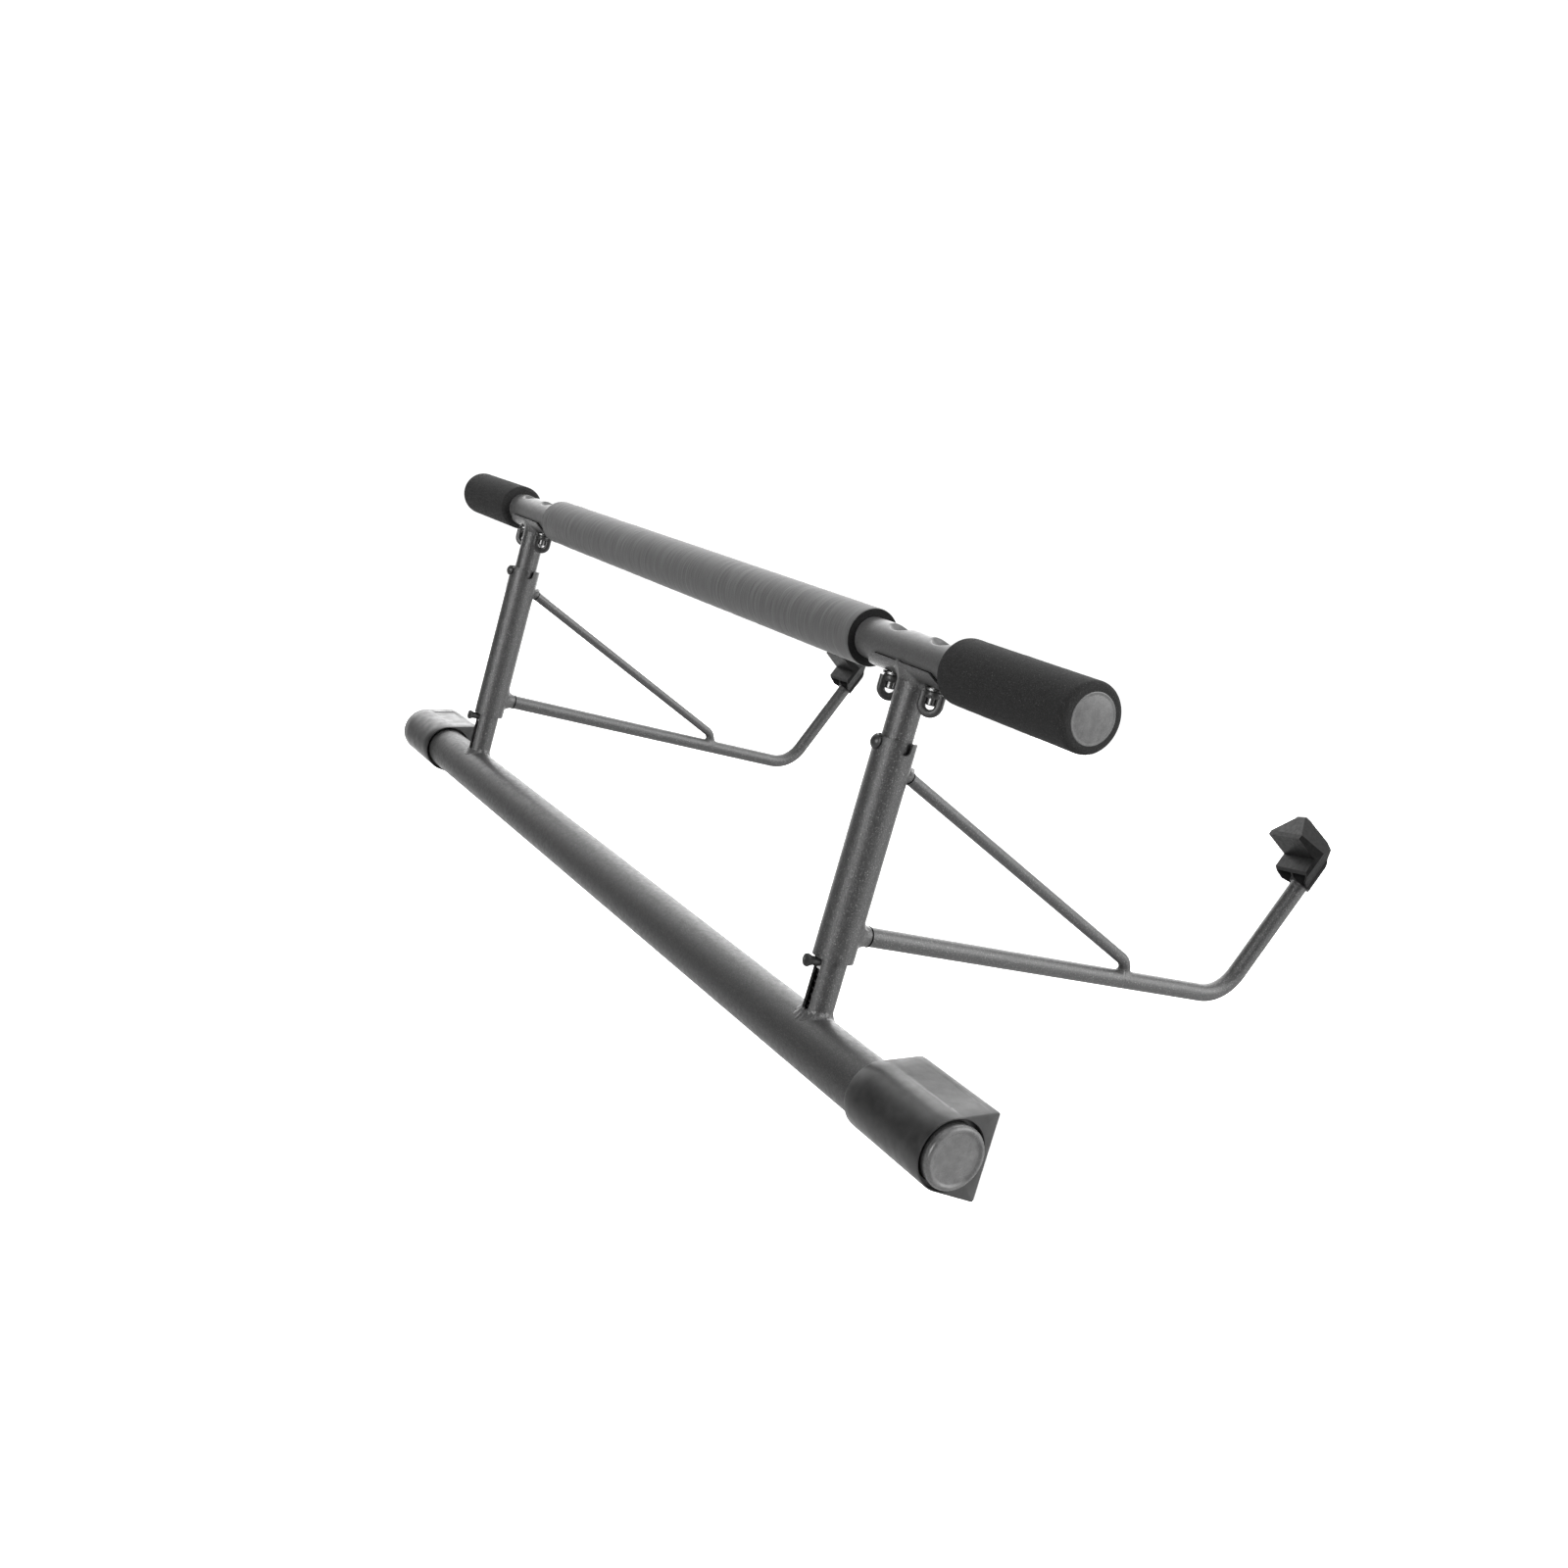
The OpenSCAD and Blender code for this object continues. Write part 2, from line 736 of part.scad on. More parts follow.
arm_welds(1);  // right_arm_welds
trim_hook(-1, left_hook_turn);  // left_trim_hook
trim_hook(1, right_hook_turn);  // right_trim_hook
door_pad(-1);  // left_door_pad
door_pad(1);  // right_door_pad
pad_liner(-1);  // left_pad_liner
pad_liner(1);  // right_pad_liner
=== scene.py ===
import json
from math import acos, asin, atan2, cos, hypot, pi, radians, sin, sqrt, tan
import bpy
from mathutils import Matrix, Vector, noise


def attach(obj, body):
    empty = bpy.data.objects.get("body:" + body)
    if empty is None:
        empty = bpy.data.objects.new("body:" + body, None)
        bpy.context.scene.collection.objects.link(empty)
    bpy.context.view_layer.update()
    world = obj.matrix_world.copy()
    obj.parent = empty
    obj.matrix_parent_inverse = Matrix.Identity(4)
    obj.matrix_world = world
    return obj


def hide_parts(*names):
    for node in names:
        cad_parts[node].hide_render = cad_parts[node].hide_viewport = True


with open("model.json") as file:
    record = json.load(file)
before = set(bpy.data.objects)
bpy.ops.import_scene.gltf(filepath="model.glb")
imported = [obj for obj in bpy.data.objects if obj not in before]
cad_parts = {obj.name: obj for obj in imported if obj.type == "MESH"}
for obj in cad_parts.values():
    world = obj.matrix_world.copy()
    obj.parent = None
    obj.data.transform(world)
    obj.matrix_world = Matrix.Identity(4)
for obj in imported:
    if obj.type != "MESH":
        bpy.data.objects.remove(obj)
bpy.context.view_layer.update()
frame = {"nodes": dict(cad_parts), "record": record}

# A doorway pull up bar in metres: +X along the bars, +Y towards the hooks, +Z up.
NODES = frame["nodes"]
MM = 0.001
BAR_Y = -26.5 * MM
BAR_Z = 236 * MM
UPRIGHT_X = 312.5 * MM
SIDES = {"left": -1, "right": 1}
UPRIGHT_R = 9.53 * MM
SLEEVE_R = 12.7 * MM
PULL_R = 12.7 * MM
LOWER_R = 18 * MM
TUBE_END = 466 * MM
BOLT_STEPS = (-22 * MM, 22 * MM)    # the two bolts of a saddle, from its upright
ARM_SLOPE = radians(1.4)
ARM_Z = 68 * MM
BRACE_SLOPE = radians(23.6)
BRACE_Z = 172.4 * MM
BRACE_REACH = 224.5 * MM
FOAM_HALF = 259 * MM
FOAM_R = 18 * MM
GRIP_R = 19.2 * MM
GRIP_INNER = 356 * MM
GRIP_OUTER = 470 * MM
PAD_INNER = 390 * MM
PAD_OUTER = 465 * MM

# Light of the world: an even base, and soft panels given by the direction they lie in,
# the cosines at which each fades in and is full, and its strength
BACKDROP = 1.1
SKY_BASE = 0.08
SKY = (
    ((0, 0, 1), 0.6, 1.0, 1.3),
    ((0, 0, -1), 0.05, 0.9, 0.9),
    ((0.33, -0.93, 0.12), 0.93, 0.99, 9.0),
    ((0.612, 0.55, 0.57), 0.8, 0.97, 4.0),
    ((-0.84, 0.48, 0.32), 0.5, 1.0, 3.4),
    ((0.6, 0.8, 0.05), 0.6, 0.97, 1.3),
)


# ---- Camera ----

def make_camera():
    data = bpy.data.cameras.new("camera")
    data.lens = 38.95
    data.sensor_width = 36
    cam = bpy.data.objects.new("camera", data)
    bpy.context.scene.collection.objects.link(cam)
    ahead = Vector((-0.84291, 0.51778, -0.14634)).normalized()
    right = Vector((0.46953, 0.84065, 0.26989)).normalized()
    up = right.cross(ahead)
    turn = Matrix((right, up, -ahead)).transposed()
    cam.matrix_world = Matrix.Translation((1.1103, -0.5815, 0.2867)) @ turn.to_4x4()
    bpy.context.scene.camera = cam


# ---- Shader helpers ----

RANGE_SOCKETS = ("From Min", "From Max", "To Min", "To Max")


class Shader:
    """A Principled material and short ways to add nodes to it."""

    def __init__(self, name, colour, rough, metal=0.0, specular=0.5):
        self.material = bpy.data.materials.new(name)
        self.material.use_nodes = True
        self.tree = self.material.node_tree
        self.bsdf = self.tree.nodes["Principled BSDF"]
        self.set("Base Color", (*colour, 1))
        self.set("Roughness", rough)
        self.set("Metallic", metal)
        self.set("Specular IOR Level", specular)
        self.place = self.node("ShaderNodeTexCoord").outputs["Object"]

    def set(self, socket, value):
        self.bsdf.inputs[socket].default_value = value

    def node(self, kind, links=None, **values):
        """A new node; the values are its own properties or else its sockets."""
        n = self.tree.nodes.new(kind)
        for key, value in values.items():
            if hasattr(n, key):
                setattr(n, key, value)
            else:
                n.inputs[key.replace("_", " ").title()].default_value = value
        for key, output in (links or {}).items():
            self.tree.links.new(output, n.inputs[key])
        return n

    def scaled(self, scale):
        n = self.node("ShaderNodeMapping", {"Vector": self.place})
        n.inputs["Scale"].default_value = scale
        return n.outputs["Vector"]

    def noise(self, scale, detail=2.0, rough=0.5, at=None):
        n = self.node("ShaderNodeTexNoise", {"Vector": at or self.place}, scale=scale,
                      detail=detail)
        n.inputs["Roughness"].default_value = rough
        return n.outputs["Fac"]

    def cells(self, scale):
        n = self.node("ShaderNodeTexVoronoi", {"Vector": self.place}, scale=scale)
        return n.outputs["Distance"]

    def remap(self, value, low, high, to_low=0.0, to_high=1.0):
        n = self.node("ShaderNodeMapRange", {"Value": value})
        n.clamp = True
        limits = (low, high, to_low, to_high)
        for key, number in zip(RANGE_SOCKETS, limits):
            n.inputs[key].default_value = number
        return n.outputs["Result"]

    def ramp(self, value, *stops):
        """A ramp of greys; each stop is (position, grey)."""
        n = self.node("ShaderNodeValToRGB", {"Fac": value})
        ends = n.color_ramp.elements
        while len(ends) < len(stops):
            ends.new(0.5)
        for end, (at, grey) in zip(ends, stops):
            end.position = at
            end.color = (grey, grey, grey, 1)
        return n.outputs["Color"]

    def colour(self, output):
        self.tree.links.new(output, self.bsdf.inputs["Base Color"])

    def roughness(self, output):
        self.tree.links.new(output, self.bsdf.inputs["Roughness"])

    def bump(self, height, depth, strength=1.0):
        """Adds a relief of that depth in metres over whatever relief is there already."""
        n = self.node("ShaderNodeBump", {"Height": height})
        n.inputs["Distance"].default_value = depth
        n.inputs["Strength"].default_value = strength
        normal = self.bsdf.inputs["Normal"]
        if normal.links:
            self.tree.links.new(normal.links[0].from_socket, n.inputs["Normal"])
        self.tree.links.new(n.outputs["Normal"], normal)


# ---- Materials ----

def speckled_paint():
    s = Shader("speckled_paint", (0.04, 0.04, 0.04), 0.32, specular=0.65)
    grain = s.noise(1150, 2, 0.7)
    s.colour(s.ramp(grain, (0.3, 0.03), (0.5, 0.037), (0.62, 0.065), (0.7, 0.2)))
    s.roughness(s.remap(s.noise(600), 0.3, 0.7, 0.29, 0.41))
    s.bump(grain, 0.00026, 0.85)
    s.bump(s.noise(350, 1), 0.0002, 0.25)
    return s.material


def satin_paint():
    s = Shader("satin_paint", (0.07, 0.07, 0.07), 0.34)
    s.colour(s.ramp(s.noise(900, 3), (0.35, 0.06), (0.65, 0.085)))
    s.roughness(s.remap(s.noise(250, 3), 0.3, 0.7, 0.28, 0.4))
    s.bump(s.noise(700, 2), 0.00005, 0.4)
    return s.material


def bar_paint():
    s = Shader("bar_paint", (0.035, 0.035, 0.035), 0.42)
    grain = s.noise(1300, 2, 0.6)
    s.colour(s.ramp(grain, (0.3, 0.026), (0.55, 0.04), (0.68, 0.075)))
    s.roughness(s.remap(s.noise(300, 3), 0.3, 0.7, 0.34, 0.5))
    s.bump(grain, 0.0001, 0.5)
    return s.material


def weld_paint():
    s = Shader("weld_paint", (0.06, 0.06, 0.06), 0.3)
    grain = s.noise(1100, 2, 0.6)
    s.colour(s.ramp(grain, (0.3, 0.035), (0.6, 0.08), (0.72, 0.18)))
    s.bump(grain, 0.00012, 0.5)
    return s.material


def grey_foam():
    s = Shader("grey_foam", (0.09, 0.09, 0.09), 0.6, specular=0.6)
    creases = s.noise(1, 3, 0.6, at=s.scaled((420, 26, 26)))
    # The colour follows the creases: painted shade in their hollows and painted light on their ridges
    s.colour(s.ramp(creases, (0.3, 0.065), (0.55, 0.088), (0.75, 0.125)))
    s.bump(creases, 0.0006, 0.45)
    s.bump(s.noise(2200, 2), 0.0001, 0.35)
    return s.material


def cut_foam():
    s = Shader("cut_foam", (0.012, 0.012, 0.012), 0.9, specular=0.1)
    s.colour(s.ramp(s.noise(2500, 3), (0.35, 0.006), (0.7, 0.02)))
    s.bump(s.cells(1800), 0.0003, 0.5)
    return s.material


def black_foam():
    s = Shader("black_foam", (0.02, 0.02, 0.02), 0.85, specular=0.2)
    grain = s.noise(1700, 3, 0.7)
    s.colour(s.ramp(grain, (0.35, 0.011), (0.55, 0.02), (0.66, 0.034), (0.74, 0.16)))
    s.bump(grain, 0.0003, 0.6)
    s.bump(s.noise(350, 2), 0.0004, 0.35)
    return s.material


def pad_plastic():
    s = Shader("pad_plastic", (0.022, 0.022, 0.022), 0.34)
    s.colour(s.ramp(s.noise(160, 4), (0.3, 0.017), (0.7, 0.03)))
    s.roughness(s.remap(s.noise(120, 5, 0.6), 0.3, 0.7, 0.28, 0.46))
    s.bump(s.noise(1300, 2), 0.00005, 0.35)
    return s.material


def cap_plastic():
    s = Shader("cap_plastic", (0.075, 0.075, 0.075), 0.28)
    s.colour(s.ramp(s.noise(220, 5, 0.65), (0.3, 0.07), (0.7, 0.12)))
    s.roughness(s.remap(s.noise(300, 5, 0.65), 0.3, 0.7, 0.18, 0.34))
    s.bump(s.noise(900, 3), 0.00006, 0.4)
    return s.material


def hook_plastic():
    s = Shader("hook_plastic", (0.004, 0.004, 0.004), 0.45, specular=0.06)
    s.colour(s.ramp(s.noise(300, 3), (0.3, 0.006), (0.7, 0.011)))
    s.roughness(s.remap(s.noise(400, 3), 0.3, 0.7, 0.34, 0.5))
    s.bump(s.noise(1500, 2), 0.00006, 0.4)
    return s.material


def dark_steel():
    s = Shader("dark_steel", (0.03, 0.03, 0.03), 0.36, metal=0.2)
    s.colour(s.ramp(s.noise(900, 3), (0.3, 0.018), (0.7, 0.045)))
    s.bump(s.noise(900, 3), 0.0001, 0.4)
    return s.material


def pin_paint():
    s = Shader("pin_paint", (0.02, 0.02, 0.02), 0.35)
    s.colour(s.ramp(s.noise(1200, 3), (0.3, 0.014), (0.7, 0.03)))
    s.bump(s.noise(1200, 2), 0.0001, 0.4)
    return s.material


def zinc():
    s = Shader("zinc", (0.16, 0.16, 0.16), 0.35, metal=1.0)
    s.colour(s.ramp(s.noise(1500, 3), (0.3, 0.1), (0.7, 0.24)))
    s.roughness(s.remap(s.noise(800, 3), 0.3, 0.7, 0.22, 0.42))
    return s.material


def nylon():
    s = Shader("nylon", (0.72, 0.72, 0.68), 0.5)
    s.colour(s.ramp(s.noise(400, 2), (0.3, 0.66), (0.7, 0.76)))
    return s.material


def liner():
    s = Shader("pale_liner", (0.86, 0.86, 0.84), 0.8, specular=0.2)
    s.colour(s.ramp(s.noise(1500, 3), (0.3, 0.8), (0.7, 0.9)))
    s.bump(s.noise(1500, 3), 0.0002, 0.4)
    return s.material


# A near-black for painted shade: the dark strips and rings put where edges and steps would be in
# shade
def painted_shade_black():
    s = Shader("painted_shade_black", (0.004, 0.004, 0.004), 0.9, specular=0.05)
    s.colour(s.ramp(s.noise(900, 1), (0.3, 0.003), (0.7, 0.006)))
    return s.material


# ---- Mesh helpers ----

def piece(name, verts, faces, body, material, replaced=(), sharp=35):
    """A smooth-shaded mesh that rides on a body and stands for the replaced CAD nodes."""
    mesh = bpy.data.meshes.new(name)
    mesh.from_pydata([tuple(v) for v in verts], [], faces)
    mesh.validate()
    mesh.materials.append(material)
    mesh.shade_smooth()
    mesh.set_sharp_from_angle(angle=radians(sharp))
    obj = bpy.data.objects.new(name, mesh)
    bpy.context.scene.collection.objects.link(obj)
    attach(obj, body)
    if replaced:
        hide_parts(*replaced)
    return obj


def fillet(points, radii, steps=6):
    """The closed polygon with its corners rounded."""
    out = []
    n = len(points)
    for i, p in enumerate(points):
        r = radii[i]
        p = Vector(p)
        if r <= 0:
            out.append(p)
            continue
        a = Vector(points[i - 1]) - p
        b = Vector(points[(i + 1) % n]) - p
        half = a.angle(b) / 2
        run = r / tan(half)
        centre = p + (a.normalized() + b.normalized()).normalized() * (r / sin(half))
        start = p + a.normalized() * run - centre
        end = p + b.normalized() * run - centre
        swing = start.angle_signed(end)
        for k in range(steps + 1):
            t = -swing * k / steps
            out.append(centre + Vector((start.x * cos(t) - start.y * sin(t),
                                        start.x * sin(t) + start.y * cos(t))))
    return out


def grid_faces(rings, count, wrap_rings=False):
    """Quads between rings of points laid out one after another."""
    faces = []
    for i in range(rings if wrap_rings else rings - 1):
        near, far = i * count, ((i + 1) % rings) * count
        for j in range(count):
            k = (j + 1) % count
            faces.append((near + j, near + k, far + k, far + j))
    return faces


def lathe(profile, origin, axis, segments=72, closed=False):
    """Revolves (distance along the axis, radius) points about the axis through origin."""
    axis = Vector(axis).normalized()
    u = axis.orthogonal().normalized()
    v = axis.cross(u)
    verts = []
    for along, r in profile:
        for k in range(segments):
            t = 2 * pi * k / segments
            verts.append(Vector(origin) + axis * along + (u * cos(t) + v * sin(t)) * r)
    faces = grid_faces(len(profile), segments, wrap_rings=closed)
    if not closed:
        last = (len(profile) - 1) * segments
        faces.append(tuple(reversed(range(segments))))
        faces.append(tuple(last + k for k in range(segments)))
    return verts, faces


def sweep(path, radii, sides=12, closed=True):
    """A round tube along a path, with a radius for each of its points."""
    n = len(path)
    verts = []
    for i, p in enumerate(path):
        before = path[i - 1] if closed or i else path[0]
        after = path[(i + 1) % n] if closed or i < n - 1 else path[-1]
        ahead = (after - before).normalized()
        u = ahead.cross(Vector((0.31, 0.17, 0.94))).normalized()
        v = ahead.cross(u)
        for k in range(sides):
            t = 2 * pi * k / sides
            verts.append(p + (u * cos(t) + v * sin(t)) * radii[i])
    faces = grid_faces(n, sides, wrap_rings=closed)
    if not closed:
        faces += [tuple(reversed(range(sides))), tuple((n - 1) * sides + k for k in range(sides))]
    return verts, faces


def joined(parts):
    """Several (verts, faces) as one, and for each face the number of its part."""
    verts, faces, owner = [], [], []
    for i, (v, f) in enumerate(parts):
        faces += [tuple(k + len(verts) for k in face) for face in f]
        verts += v
        owner += [i] * len(f)
    return verts, faces, owner


# ---- Stage and lights ----

def make_world():
    """White where the camera sees it. Its light comes from SKY_BASE and the panels in SKY."""
    world = bpy.data.worlds.new("studio")
    bpy.context.scene.world = world
    world.use_nodes = True
    tree = world.node_tree
    back = tree.nodes["Background"]
    direction = tree.nodes.new("ShaderNodeTexCoord").outputs["Generated"]
    total = None
    for towards, low, high, strength in SKY:
        dot = tree.nodes.new("ShaderNodeVectorMath")
        dot.operation = "DOT_PRODUCT"
        tree.links.new(direction, dot.inputs[0])
        dot.inputs[1].default_value = Vector(towards).normalized()
        fade = tree.nodes.new("ShaderNodeMapRange")
        fade.interpolation_type = "SMOOTHSTEP"
        tree.links.new(dot.outputs["Value"], fade.inputs["Value"])
        for key, number in zip(RANGE_SOCKETS, (low, high, 0, strength)):
            fade.inputs[key].default_value = number
        add = tree.nodes.new("ShaderNodeMath")
        tree.links.new(fade.outputs["Result"], add.inputs[0])
        if total is None:
            add.inputs[1].default_value = SKY_BASE
        else:
            tree.links.new(total, add.inputs[1])
        total = add.outputs["Value"]
    seen = tree.nodes.new("ShaderNodeLightPath").outputs["Is Camera Ray"]
    choose = tree.nodes.new("ShaderNodeMix")
    tree.links.new(seen, choose.inputs["Factor"])
    tree.links.new(total, choose.inputs["A"])
    choose.inputs["B"].default_value = BACKDROP
    tree.links.new(choose.outputs["Result"], back.inputs["Strength"])
    back.inputs["Color"].default_value = (1, 1, 1, 1)
    bpy.context.scene.view_settings.view_transform = "Standard"


def make_floor():
    """A pale disc well below the bar, seen by the camera only."""
    bpy.ops.mesh.primitive_circle_add(vertices=64, radius=8, fill_type="NGON", location=(0, 0, -0.45))
    floor = bpy.context.object
    floor.name = "floor"
    s = Shader("floor_white", (0.9, 0.9, 0.9), 0.9, specular=0.0)
    s.set("Emission Color", (1, 1, 1, 1))
    s.set("Emission Strength", 0.9)
    floor.data.materials.append(s.material)
    floor.visible_diffuse = False
    floor.visible_glossy = False
    floor.visible_shadow = False


# ---- Foam grips ----

def foam_tube(name, node, low, high, outer, rounding, wrinkle, material):
    """A foam tube about the pull bar, with rounded ends and shallow rings of creases.

    wrinkle gives the depth of the creases at x."""
    bore = PULL_R + 0.08 * MM
    arc = [(1 - sin(pi / 2 * k / 7), 1 - cos(pi / 2 * k / 7)) for k in range(8)]
    rings = int((high - low - 2 * rounding) / (1.5 * MM))
    step = (high - low - 2 * rounding) / rings
    profile = [(low, bore)]
    profile += [(low + rounding * a, outer - rounding * b) for b, a in arc]
    profile += [(low + rounding + step * k, outer) for k in range(1, rings)]
    profile += [(high - rounding * a, outer - rounding * b) for a, b in arc]
    profile.append((high, bore))
    verts, faces = lathe(profile, (0, BAR_Y, BAR_Z), (1, 0, 0), 96, closed=True)
    moved = []
    for v in verts:
        out = Vector((0, v.y - BAR_Y, v.z - BAR_Z))
        depth = wrinkle(v.x) if out.length > outer - 0.3 * MM else 0
        out.normalize()
        lift = noise.noise(Vector((v.x * 260, out.y * 1.4, out.z * 1.4)))
        moved.append(v - out * depth * (0.5 + 0.5 * lift))
    return piece(name, moved, faces, "frame", material, (node,), sharp=50)


def make_foam(mats):
    foam = foam_tube("centre_foam", "centre_foam_grip", -FOAM_HALF, FOAM_HALF, FOAM_R, 0.9 * MM,
                     lambda x: (0.25 + 0.35 * max(0.0, -x / FOAM_HALF)) * MM,
                     mats["grey_foam"])
    foam.data.materials.append(mats["cut_foam"])
    for p in foam.data.polygons:
        if abs(p.normal.x) > 0.9:
            p.material_index = 1
    for side, sign in SIDES.items():
        low, high = sorted((sign * GRIP_INNER, sign * GRIP_OUTER))
        grip = foam_tube(side + "_grip_foam", side + "_hand_grip", low, high, GRIP_R,
                         3.6 * MM, lambda x: 0.2 * MM, mats["black_foam"])


# ---- Bars and caps ----

def dimpled(x, y, z, ball_r):
    """Height of a point on the pull bar's top once the ball-nosed tool has pressed it in."""
    ball_z, soft = 19.0 * MM, 1.0 * MM
    for sign in (-1, 1):
        for step in BOLT_STEPS:
            away = (x - sign * UPRIGHT_X - step) ** 2 + y ** 2
            if z > 0 and away < ball_r ** 2:
                floor = ball_z - sqrt(ball_r ** 2 - away)
                mix = max(soft - abs(z - floor), 0) / soft
                z = min(z, floor) - mix * mix * soft / 4
    return z


def make_pull_bar(mats):
    """The pull bar, with rings of points close together where the dimples are."""
    around, fine, reach, wall = 120, 0.6 * MM, 12.6 * MM, 1.5 * MM
    stops = [-TUBE_END, TUBE_END, 0]
    for sign in (-1, 1):
        for step in BOLT_STEPS:
            middle = sign * UPRIGHT_X + step
            stops += [middle - reach + fine * k for k in range(int(2 * reach / fine) + 1)]
    stops.sort()
    rings = [(x, PULL_R, 13 * MM) for x in stops]
    rings += [(x, PULL_R - wall, 14.5 * MM) for x in reversed(stops)]
    verts = []
    for x, r, ball_r in rings:
        for k in range(around):
            y, z = r * sin(2 * pi * k / around), r * cos(2 * pi * k / around)
            verts.append(Vector((x, BAR_Y + y, BAR_Z + dimpled(x, y, z, ball_r))))
    piece("pull_bar", verts, grid_faces(len(rings), around, wrap_rings=True), "frame",
          mats["satin_paint"], ("pull_bar_tube",), sharp=50)


def make_bolts(mats):
    """Bolts through the bar and saddle: a low painted dome in each dimple, zinc below."""
    foot, rim = 211.5, 241.9
    profile = [(foot, 2.5), (foot + 0.5, 3), (rim, 3), (rim, 5.0)]
    profile += [(rim + 2.0 * sin(a), 5.0 * cos(a)) for a in (0.3, 0.6, 0.9, 1.2, 1.5)]
    for side, sign in SIDES.items():
        parts = [lathe([(z * MM, r * MM) for z, r in profile],
                       (sign * UPRIGHT_X + step, BAR_Y, 0), (0, 0, 1), 32) for step in BOLT_STEPS]
        verts, faces, _ = joined(parts)
        bolts = piece(side + "_bolts", verts, faces, "frame", mats["zinc"],
                      (side + "_saddle_bolts",))
        bolts.data.materials.append(mats["satin_paint"])
        for p in bolts.data.polygons:
            p.material_index = 1 if p.center.z > BAR_Z else 0


def make_cap(name, node, sign, height, profile, mats):
    points = [(along * MM, r * MM) for along, r in profile]
    verts, faces = lathe(points, (sign * TUBE_END, BAR_Y, height), (sign, 0, 0), 96)
    piece(name, verts, faces, "frame", mats["cap_plastic"], (node,))


def make_caps(mats):
    """Domed caps in the pull bar's ends and rimmed ones in the lower bar's."""
    domed = [(-16, 10.4), (-15.2, 11.1), (-0.05, 11.1), (0, 14.0), (0.2, 14.2), (3.3, 14.2)]
    domed += [(3.3 + 0.9 * sin(a), 13.3 + 0.9 * cos(a)) for a in (0.3, 0.6, 0.9, 1.2, 1.5)]
    domed += [(3.95 + 0.9 * (1 - (r / 12.6) ** 2), r) for r in (12.6, 12, 11, 9.5, 8, 6, 4, 2, 0.3)]
    rimmed = [(-16, 15.6), (-15.2, 16.4), (-0.05, 16.4), (0, 18.1), (0.2, 18.3), (1.5, 18.3)]
    rimmed += [(1.5 + 2.4 * sin(a), 15.9 + 2.4 * cos(a)) for a in (0.25, 0.5, 0.75, 1.0, 1.25, 1.5)]
    rimmed += [(3.85, 15.6), (3.6, 15.1), (3.2, 14.5), (3.0, 13.8), (2.95, 12), (3.1, 8), (3.2, 4),
               (3.2, 0.3)]
    for side, sign in SIDES.items():
        make_cap(side + "_bar_end", side + "_bar_cap", sign, BAR_Z, domed, mats)
        make_cap(side + "_base_end", side + "_base_cap", sign, 0, rimmed, mats)


def make_painted_saddle_shadows(mats):
    """Painted shadow: dark lines along the saddle's edges on the pull bar, where the edges stand off
    it and would be in shade.
    """
    ends = [(30 + 10.4 * k / 6, -6.5 - 6.2 * k / 6) for k in range(1, 7)]
    edge = [(-x, drop) for x, drop in reversed(ends)]
    edge += [(-30 + 2.5 * k, -6.5) for k in range(25)] + ends
    for side, sign in SIDES.items():
        for name, way in (("front", -1), ("rear", 1)):
            line = [Vector((sign * UPRIGHT_X + x * MM, BAR_Y + way * sqrt(12.9 ** 2 - drop ** 2) * MM,
                            BAR_Z + drop * MM)) for x, drop in edge]
            # A thin near-black strip of painted shadow along each edge
            verts, faces = sweep(line, [0.4 * MM] * len(line), 8, closed=False)
            piece(f"{side}_saddle_{name}_line", verts, faces, "frame", mats["painted_shade_black"])


# ---- Door pads ----

def pad_outline():
    """The pad's section as (y, z) points, and for each how far a moulded panel is let in there."""
    half, face, back = 25.8 * MM, 23.5 * MM, 21 * MM
    corner = hypot(face, half)
    turn = atan2(half, face) + acos(back / corner)
    tangent = Vector((back * cos(turn), back * sin(turn)))
    edge = Vector((face, half))
    round_corner = fillet([(face, 0), edge, tangent], [0, 1.2 * MM, 0], 5)[1:-1]
    start = round_corner[-1]
    upper = [Vector((face, half * k / 6)) for k in range(6)] + round_corner
    depth = [0] * len(upper)
    for k in range(1, 24):
        t = k / 24
        upper.append(start.lerp(tangent, t))
        depth.append(1 if 0.12 < t < 0.86 else 0)
    arc = 40
    for k in range(arc + 1):
        a = turn + (pi - turn) * k / arc
        upper.append(Vector((back * cos(a), back * sin(a))))
        depth.append(0)
    lower = [Vector((p.x, -p.y)) for p in upper[-2:0:-1]]
    return upper + lower, depth + depth[-2:0:-1]


